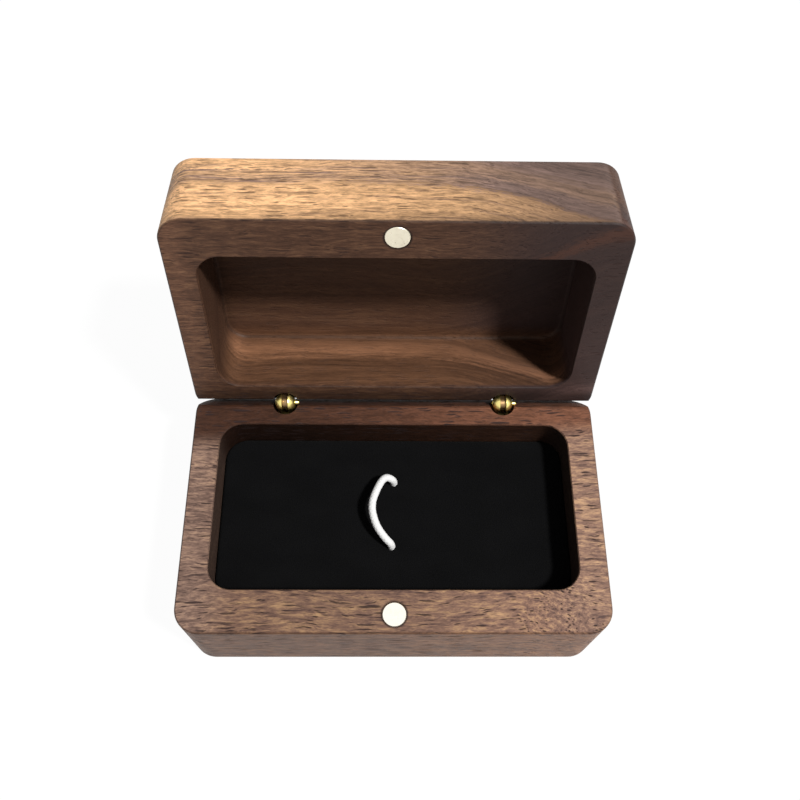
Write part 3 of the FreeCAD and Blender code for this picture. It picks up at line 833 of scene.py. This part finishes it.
def make_velvet_material():
    """Black velvet: the pile leans in patches, and each patch catches the light a little differently."""
    velvet = Shader("black_velvet")
    place = velvet.split(velvet.object_place())
    lean = velvet.noise(place, VELVET_LEAN)
    tufts = velvet.noise(place, VELVET_TUFTS)
    light = 1.0 + lean * VELVET_LEAN_SHARE + tufts * VELVET_TUFTS_SHARE
    velvet.bump(tufts + lean * VELVET_LEAN_HIGH, VELVET_RELIEF, CLOTH_RELIEF_SHOWS)
    rough = VELVET_ROUGH + tufts * VELVET_TUFTS_ROUGH
    velvet.finish(Base_Color=velvet.shade(VELVET_COLOUR, light), Roughness=rough)
    return velvet.finish(Specular_IOR_Level=VELVET_SPECULAR, Sheen_Weight=VELVET_SHEEN,
                         Sheen_Roughness=VELVET_SHEEN_ROUGH)


def make_elastic_material():
    """White braided elastic: soft yarn over rubber, greyer between the yarns."""
    elastic = Shader("white_elastic")
    fuzz = elastic.noise(elastic.split(elastic.object_place()), YARN_FUZZ)
    colour = elastic.mix(fuzz.ramp(*YARN_EDGE), YARN_LOW, YARN_HIGH)
    elastic.bump(fuzz, YARN_RELIEF, CLOTH_RELIEF_SHOWS)
    rough = YARN_ROUGH + fuzz * YARN_FUZZ_ROUGH
    return elastic.finish(Base_Color=colour, Roughness=rough, Sheen_Weight=YARN_SHEEN)


def make_foam_material():
    """Grey foam with open pores."""
    foam = Shader("grey_foam")
    distance, luck = foam.cells(foam.split(foam.object_place()), FOAM_CELLS)
    pore = (distance + luck * FOAM_LUCK).fall(*FOAM_WALL)
    foam.bump(0.0 - pore, FOAM_RELIEF, FOAM_RELIEF_SHOWS)
    colour = foam.mix(pore, FOAM_COLOUR, FOAM_PORE_COLOUR)
    return foam.finish(Base_Color=colour, Roughness=FOAM_ROUGH - pore * FOAM_PORE_ROUGH)


def make_card_material():
    """Grey card, with the marks of its pulp."""
    card = Shader("grey_card")
    pulp = card.noise(card.split(card.object_place()), CARD_PULP)
    card.bump(pulp, CARD_RELIEF, CARD_RELIEF_SHOWS)
    colour = card.mix(pulp.levels(0.0, 1.0), CARD_DARK, CARD_LIGHT)
    return card.finish(Base_Color=colour, Roughness=CARD_ROUGH + pulp * CARD_PULP_ROUGH)


def dress(node, material):
    """Gives a CAD node that is shown as it is its material."""
    for slot in NODES[node].material_slots:
        slot.material = material


dress("base_block", make_base_walnut())
dress("lid_block", make_lid_walnut())
dress("base_magnet", make_nickel("base_nickel", BASE_NICKEL, BASE_NICKEL_WEAR))
dress("lid_magnet", make_nickel("lid_nickel", LID_NICKEL, LID_NICKEL_WEAR))
dress("pad_foam", make_foam_material())
dress("pad_board", make_card_material())

# ---------------------------------------------------------------- mesh helpers

ALONG_X = Matrix.Rotation(math.pi / 2, 4, "Y")

# How many sides the round shapes have.
BALL_SIDES = 96
BALL_ROWS = 40
BARREL_SIDES = 64
PIN_SIDES = 48


def add_piece(name, mesh, material, body, slot_name, *nodes):
    """A piece of the case that stands for CAD nodes and moves with a body."""
    mesh.materials.clear()
    mesh.materials.append(material)
    piece = bpy.data.objects.new(name, mesh)
    bpy.context.scene.collection.objects.link(piece)
    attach(piece, body)
    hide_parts(*nodes)
    return piece


def settled(piece, *modifiers):
    """The mesh of an object with modifiers, given as (kind, settings), worked into it."""
    for kind, settings in modifiers:
        modifier = piece.modifiers.new(kind.lower(), kind)
        for key, value in settings.items():
            setattr(modifier, key, value)
    graph = bpy.context.evaluated_depsgraph_get()
    mesh = bpy.data.meshes.new_from_object(piece.evaluated_get(graph))
    bpy.data.objects.remove(piece)
    return mesh


def loose_object(mesh):
    """An object to work on, which isn't a piece of the case."""
    piece = bpy.data.objects.new("blank", mesh)
    bpy.context.scene.collection.objects.link(piece)
    return piece


def written(shape, name):
    """A mesh with a bmesh's shape. The bmesh is freed."""
    mesh = bpy.data.meshes.new(name)
    shape.to_mesh(mesh)
    shape.free()
    return mesh


def turned(profile, steps=BARREL_SIDES):
    """A solid turned about Z. The profile is (radius, height) pairs in millimetres, from end to end."""
    shape = bmesh.new()
    rings = []
    for radius, height in profile:
        if radius == 0.0:
            rings.append([shape.verts.new((0.0, 0.0, height * MM))])
            continue
        angles = [2 * math.pi * step / steps for step in range(steps)]
        rings.append([shape.verts.new((radius * math.cos(a) * MM, radius * math.sin(a) * MM, height * MM))
                      for a in angles])
    for low, high in zip(rings, rings[1:]):
        for step in range(steps):
            after = (step + 1) % steps
            corners = [low[step % len(low)], low[after % len(low)],
                       high[after % len(high)], high[step % len(high)]]
            shape.faces.new(list(dict.fromkeys(corners)))
    for ring, way in ((rings[0], -1), (rings[-1], 1)):
        if len(ring) > 1:
            shape.faces.new(ring[::way])
    bmesh.ops.recalc_face_normals(shape, faces=shape.faces)
    return written(shape, "turned")


def block(low, high):
    """A box between two corners, in millimetres."""
    shape = bmesh.new()
    middle = (Vector(low) + Vector(high)) / 2 * MM
    size = (Vector(high) - Vector(low)) * MM
    bmesh.ops.create_cube(shape, size=1.0, matrix=Matrix.LocRotScale(middle, None, size))
    return written(shape, "block")


def combined(first, operation, second):
    """The union or difference of two closed meshes."""
    tool = loose_object(second)
    mesh = settled(loose_object(first), ("BOOLEAN", {"operation": operation, "object": tool}))
    bpy.data.objects.remove(tool)
    return mesh


def moved(mesh, matrix):
    mesh.transform(matrix)
    return mesh


# ---------------------------------------------------------------- the brass hinges
# Each hinge is drawn in millimetres about the middle of its ball, with the lid shut.

BALL_RADIUS = 1.8
NECK_RADIUS = 1.6
BARREL_RADIUS = 1.8
BARREL_LEAD = 0.2
SHOULDER = 2.05
BARREL_END = 8.0
BARREL_BEVEL = 0.25
SLOT_WIDTH = 1.1
SLOT_FLOOR = -1.58
NECK_TOP = -0.4
TONGUE_THICK = 1.0
TONGUE_RADIUS = 1.15
TONGUE_EASE = 0.06
PIN_RADIUS = 0.4
PIN_HOLE_RADIUS = 0.43
PIN_LEFT = -1.7
PIN_RIGHT = 2.5
PIN_EASE = 0.05

# The peened tip's radii, and how far before the pin's right end each is.
PIN_TIP = ((PIN_RADIUS, 0.28), (0.33, 0.16), (0.22, 0.05), (0.10, 0.0), (0.0, 0.0))

# A cutting tool reaches this far from the middle of the ball, past everything.
CUT_REACH = 3.0
SHARP_ANGLE = math.radians(35)


def barrel(way):
    """The part in the bore. It hangs below the ball for way -1 and stands above it for way 1."""
    ends = [(0.0, SHOULDER), (BARREL_RADIUS - BARREL_BEVEL, SHOULDER),
            (BARREL_RADIUS, SHOULDER + BARREL_BEVEL), (BARREL_RADIUS, BARREL_END - BARREL_BEVEL),
            (BARREL_RADIUS - BARREL_BEVEL, BARREL_END), (0.0, BARREL_END)]
    shape = turned([(radius, height * way) for radius, height in ends])
    return moved(shape, Matrix.Translation((0.0, -BARREL_LEAD * MM, 0.0)))


def cylinder(radius, low, high, steps):
    return turned([(0.0, low), (radius, low), (radius, high), (0.0, high)], steps)


def with_pin_hole(mesh, radius):
    hole = moved(cylinder(radius, -CUT_REACH, CUT_REACH, PIN_SIDES), ALONG_X)
    return combined(mesh, "DIFFERENCE", hole)


def fork_mesh():
    """The ball on the base's barrel, slotted for the tongue."""
    angles = [math.pi * row / BALL_ROWS for row in range(BALL_ROWS + 1)]
    profile = [(round(BALL_RADIUS * math.sin(a), 6), -BALL_RADIUS * math.cos(a)) for a in angles]
    ball = turned(profile, BALL_SIDES)
    neck = cylinder(NECK_RADIUS, -SHOULDER - BARREL_BEVEL, NECK_TOP, BALL_SIDES)
    mesh = combined(combined(ball, "UNION", neck), "UNION", barrel(-1))
    half = SLOT_WIDTH / 2
    slot = block((-half, -CUT_REACH, SLOT_FLOOR), (half, CUT_REACH, CUT_REACH))
    return with_pin_hole(combined(mesh, "DIFFERENCE", slot), PIN_RADIUS)


def tongue_mesh():
    """The flat tongue on the lid's barrel, with an eye for the pin."""
    half = TONGUE_THICK / 2
    inner = TONGUE_RADIUS - TONGUE_EASE
    eye = turned([(0.0, -half), (inner, -half), (TONGUE_RADIUS, TONGUE_EASE - half),
                  (TONGUE_RADIUS, half - TONGUE_EASE), (inner, half), (0.0, half)], BALL_SIDES)
    shank = block((-half, -TONGUE_RADIUS, 0.0), (half, TONGUE_RADIUS, SHOULDER + BARREL_BEVEL))
    mesh = combined(combined(moved(eye, ALONG_X), "UNION", shank), "UNION", barrel(1))
    return with_pin_hole(mesh, PIN_HOLE_RADIUS)


def pin_mesh():
    """The pin's right end is peened to a blunt cone, and its left end is flush with the ball."""
    profile = [(0.0, PIN_LEFT), (PIN_RADIUS - PIN_EASE, PIN_LEFT), (PIN_RADIUS, PIN_LEFT + PIN_EASE)]
    profile += [(radius, PIN_RIGHT - before) for radius, before in PIN_TIP]
    return moved(turned(profile, PIN_SIDES), ALONG_X)


def add_hinges():
    """Both hinges, with the lid's parts swung open."""
    polished = make_brass("polished_brass", *POLISHED_BRASS)
    # The tongue's brass is darkened with painted shade.
    slot_shaded = make_brass("slot_shaded_brass", *SHADED_BRASS)
    swing = Matrix.Rotation(-OPEN_ANGLE, 4, "X")
    parts = (("base_barrel", fork_mesh, "base", Matrix.Identity(4), polished),
             ("lid_barrel", tongue_mesh, "lid", swing, slot_shaded),
             ("hinge_pin", pin_mesh, "base", Matrix.Identity(4), polished))
    for side in ("left", "right"):
        low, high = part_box(f"{side}_base_barrel")
        place = Matrix.Translation(((low.x + high.x) / 2, HINGE_PLACE.y, HINGE_PLACE.z))
        for name, make, body, turn, brass in parts:
            mesh = moved(make(), place @ turn)
            mesh.shade_smooth()
            mesh.set_sharp_from_angle(angle=SHARP_ANGLE)
            add_piece(f"{side}_{name}_brass", mesh, brass, body, "brass", f"{side}_{name}")


add_hinges()

# ---------------------------------------------------------------- the velvet pad

PAD_LOW, PAD_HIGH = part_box("pad_velvet")
PAD_CORNER = 3.9 * MM
PAD_ROLL = 0.7 * MM
PAD_STEP = 0.5 * MM
PAD_EDGE_STEPS = (0.0, 0.06, 0.15, 0.28, 0.45, 0.7)
VELVET_THICK = 0.45 * MM
CROWN = 0.10 * MM
CROWN_REACH = 4 * MM

# Where the loop goes into the pad, in millimetres, and the dimples that it pulls there.
BACK_FOOT = (0.0, 6.5)
FRONT_FOOT = (-0.4, -5.2)
DIMPLE_DEEP = 0.35 * MM
DIMPLE_WIDE = 1.3 * MM

# The pile's two kinds of unevenness: how high each is, and how long.
PILE_SLOW_HIGH = 0.06
PILE_SLOW_LONG = 7 * MM
PILE_QUICK_HIGH = 0.025
PILE_QUICK_LONG = 0.9 * MM
PILE_QUICK_OFFSET = 5 * MM
PILE_DROP = 0.6


def pad_stations(low, high):
    """Places from side to side of the pad, close together where its edges roll over."""
    edges = [step * MM for step in PAD_EDGE_STEPS]
    inner_low, inner_high = low + edges[-1], high - edges[-1]
    count = round((inner_high - inner_low) / PAD_STEP)
    inner = [inner_low + (inner_high - inner_low) * step / count for step in range(1, count)]
    return [low + edge for edge in edges] + inner + [high - edge for edge in reversed(edges)]


def rounded_corner(across, along, half_across, half_along, radius):
    """Draws the square corner of a grid in to a round one, and leaves the rest as it is."""
    s = (abs(across) - half_across + radius) / radius
    t = (abs(along) - half_along + radius) / radius
    if s <= 0.0 or t <= 0.0:
        return across, along
    round_s = s * math.sqrt(1.0 - t * t / 2)
    round_t = t * math.sqrt(1.0 - s * s / 2)
    return (math.copysign(half_across - radius + radius * round_s, across),
            math.copysign(half_along - radius + radius * round_t, along))


def edge_distance(across, along, half_across, half_along, radius):
    """How far a place is in from the edge of a pad with round corners."""
    s = abs(across) - half_across + radius
    t = abs(along) - half_along + radius
    return radius - math.hypot(max(s, 0.0), max(t, 0.0)) - min(max(s, t), 0.0)


def velvet_height(across, along, from_edge, place):
    """How far the pile lies below the pad's top: rolled edges, a faint crown, dimples and unevenness."""
    roll = max(PAD_ROLL - from_edge, 0.0)
    drop = PAD_ROLL - math.sqrt(max(PAD_ROLL**2 - roll**2, 0.0))
    drop += CROWN * math.exp(-from_edge / CROWN_REACH)
    for foot in (BACK_FOOT, FRONT_FOOT):
        from_foot = (place - Vector((*foot, 0.0)) * MM).length
        drop += DIMPLE_DEEP * math.exp(-((from_foot / DIMPLE_WIDE) ** 2))
    slow = noise.noise(Vector((across, along, 0.0)) / PILE_SLOW_LONG)
    quick = noise.noise(Vector((across, along, PILE_QUICK_OFFSET)) / PILE_QUICK_LONG)
    return drop + (PILE_SLOW_HIGH * (slow + PILE_DROP) + PILE_QUICK_HIGH * (quick + PILE_DROP)) * MM


def velvet_mesh():
    """The velvet's face, with a skirt down the pad's sides, thickened inwards."""
    middle = (PAD_LOW + PAD_HIGH) / 2
    half_across, half_along = (PAD_HIGH.x - PAD_LOW.x) / 2, (PAD_HIGH.y - PAD_LOW.y) / 2
    shape = bmesh.new()
    rows = []
    for along in pad_stations(-half_along, half_along):
        row = []
        for across in pad_stations(-half_across, half_across):
            x, y = rounded_corner(across, along, half_across, half_along, PAD_CORNER)
            from_edge = edge_distance(x, y, half_across, half_along, PAD_CORNER)
            place = Vector((middle.x + x, middle.y + y, 0.0))
            drop = velvet_height(x, y, from_edge, place)
            row.append(shape.verts.new((place.x, place.y, PAD_HIGH.z - drop)))
        rows.append(row)
    for row, after in zip(rows, rows[1:]):
        for index in range(len(row) - 1):
            shape.faces.new((row[index], row[index + 1], after[index + 1], after[index]))
    feet = {}
    for ends in [edge.verts[:] for edge in shape.edges if edge.is_boundary]:
        for vertex in ends:
            if vertex not in feet:
                feet[vertex] = shape.verts.new((vertex.co.x, vertex.co.y, PAD_LOW.z))
        shape.faces.new((feet[ends[0]], *ends, feet[ends[1]]))
    bmesh.ops.recalc_face_normals(shape, faces=shape.faces)
    mesh = written(shape, "velvet")
    mesh.shade_smooth()
    return settled(loose_object(mesh), ("SOLIDIFY", {"thickness": VELVET_THICK, "offset": -1.0}))


velvet_pad = add_piece("velvet_pad", velvet_mesh(), make_velvet_material(), "base", "black_velvet",
                       "pad_velvet")

# ---------------------------------------------------------------- the elastic loop

CORD_RADIUS = 0.65

# The points that the cord's middle line is drawn from, from one cut end to the other.
LOOP_ROUTE = [
    (*BACK_FOOT, 8.2),
    (*BACK_FOOT, 11.0),
    (*BACK_FOOT, 13.4),
    (-1.6, 6.75, 14.6),
    (-2.9, 4.3, 15.4),
    (-4.0, 0.9, 15.9),
    (-3.2, -2.3, 15.3),
    (-1.6, -4.4, 14.4),
    (*FRONT_FOOT, 13.3),
    (*FRONT_FOOT, 11.0),
    (*FRONT_FOOT, 8.2),
]
CORD_SIDES = 36
CORD_STEP = 0.1
LINE_STEPS = 24
BRAID_STRANDS = 6
BRAID_TURN = BRAID_STRANDS / CORD_RADIUS
BRAID_HIGH = 0.030
KNOT_TURNS = 3
KNOT_STEPS = 60
KNOT_REACH = 0.55
KNOT_WEAVE = 0.28
KNOT_HIGH = 0.38
KNOT_BELOW_CARD = 0.9
KNOT_CORD_RADIUS = 0.45
KNOT_CORD_SIDES = 16


def smooth_line(points, step):
    """Evenly spaced places, in millimetres, along the smooth line that the points control."""
    curve = bpy.data.curves.new("line", "CURVE")
    curve.dimensions = "3D"
    curve.resolution_u = LINE_STEPS
    spline = curve.splines.new("NURBS")
    spline.points.add(len(points) - 1)
    for point, place in zip(spline.points, points):
        point.co = (*place, 1.0)
    spline.order_u = 3
    spline.use_endpoint_u = True
    dense = [vertex.co.copy() for vertex in settled(loose_object(curve)).vertices]
    lengths = [0.0]
    for here, there in zip(dense, dense[1:]):
        lengths.append(lengths[-1] + (there - here).length)
    count = round(lengths[-1] / step)
    places = []
    index = 0
    for number in range(count + 1):
        target = lengths[-1] * number / count
        while index < len(dense) - 2 and lengths[index + 1] < target:
            index += 1
        share = (target - lengths[index]) / (lengths[index + 1] - lengths[index])
        places.append(dense[index].lerp(dense[index + 1], share))
    return places


def swept(shape, places, radius_at, sides):
    """Adds a closed tube along the places to a bmesh. radius_at takes the distance and the angle."""
    side = Vector((1.0, 0.0, 0.0))
    rings = []
    run = 0.0
    for index, place in enumerate(places):
        before, after = places[max(index - 1, 0)], places[min(index + 1, len(places) - 1)]
        run += (place - before).length
        ahead = (after - before).normalized()
        side = (side - ahead * side.dot(ahead)).normalized()
        other = ahead.cross(side)
        ring = []
        for number in range(sides):
            angle = 2 * math.pi * number / sides
            reach = radius_at(run, angle)
            point = place + (side * math.cos(angle) + other * math.sin(angle)) * reach
            ring.append(shape.verts.new(point * MM))
        rings.append(ring)
    for low, high in zip(rings, rings[1:]):
        for number in range(sides):
            after = (number + 1) % sides
            shape.faces.new((low[number], low[after], high[after], high[number]))
    shape.faces.new(rings[0][::-1])
    shape.faces.new(rings[-1])


def braid_radius(run, angle):
    """The braid's yarns wind both ways round the cord and stand out where they cross on top."""
    one = math.sin(BRAID_STRANDS * angle + BRAID_TURN * run)
    other = math.sin(BRAID_STRANDS * angle - BRAID_TURN * run)
    return CORD_RADIUS - BRAID_HIGH + BRAID_HIGH * max(one, other)


def knot_places(foot):
    """An overhand knot, pulled tight, under the card."""
    places = []
    for number in range(KNOT_STEPS):
        turn = 2 * math.pi * number / (KNOT_STEPS - 1)
        reach = KNOT_REACH + KNOT_WEAVE * math.cos(KNOT_TURNS * turn)
        places.append(foot + Vector((reach * math.cos(2 * turn), reach * math.sin(2 * turn),
                                     KNOT_HIGH * math.sin(KNOT_TURNS * turn))))
    return places


def loop_mesh():
    """The cord, and a knot at each of its ends."""
    shape = bmesh.new()
    swept(shape, smooth_line(LOOP_ROUTE, CORD_STEP), braid_radius, CORD_SIDES)
    card_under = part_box("pad_board")[0].z / MM
    for foot in (BACK_FOOT, FRONT_FOOT):
        middle = Vector((*foot, card_under - KNOT_BELOW_CARD))
        swept(shape, knot_places(middle), lambda run, angle: KNOT_CORD_RADIUS, KNOT_CORD_SIDES)
    bmesh.ops.recalc_face_normals(shape, faces=shape.faces)
    mesh = written(shape, "loop")
    mesh.shade_smooth()
    return mesh


add_piece("elastic_loop", loop_mesh(), make_elastic_material(), "base", "white_elastic", "retaining_loop")
